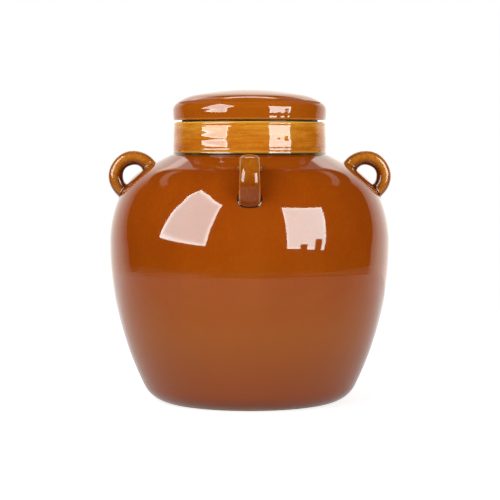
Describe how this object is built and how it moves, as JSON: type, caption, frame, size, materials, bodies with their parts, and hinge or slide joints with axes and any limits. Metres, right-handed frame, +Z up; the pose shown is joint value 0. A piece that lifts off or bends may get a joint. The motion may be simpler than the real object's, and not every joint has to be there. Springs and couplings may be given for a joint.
{
  "type": "crock fermenter",
  "caption": "Round-bellied glazed ceramic crock with a straight collar, strap ears on the shoulder, and a domed disc lid that plugs the mouth on a soft sealing ring.",
  "frame": {"origin": "centre of the foot's flat underside", "axes": "+Z up along the jar's axis; -Y the front, +X the right side; the ears stand on the X and Y axes"},
  "size_m": [0.2222, 0.2249, 0.2449],
  "materials": {
    "amber_glaze": "gloss",
    "light_amber_glaze": "gloss",
    "bare_clay": "matte",
    "silicone": "satin"
  },
  "bodies": {
    "jar": {"jar_body": "amber_glaze", "neck_collar": "light_amber_glaze", "ear_right": "amber_glaze", "ear_back": "amber_glaze", "ear_left": "amber_glaze", "ear_front": "amber_glaze"},
    "seal": {"lid_gasket": "silicone"},
    "lid": {"lid_disc": "amber_glaze", "lid_spigot": "bare_clay"}
  },
  "joints": [
    {"name": "lid_lift", "type": "slide", "parent": "jar", "child": "seal", "axis": [0, 0, 1], "range_m": [0, 0.08]},
    {"name": "lid_turn", "type": "hinge", "parent": "seal", "child": "lid", "pos_m": [0, 0, 0.22], "axis": [0, 0, 1], "continuous": true}
  ]
}
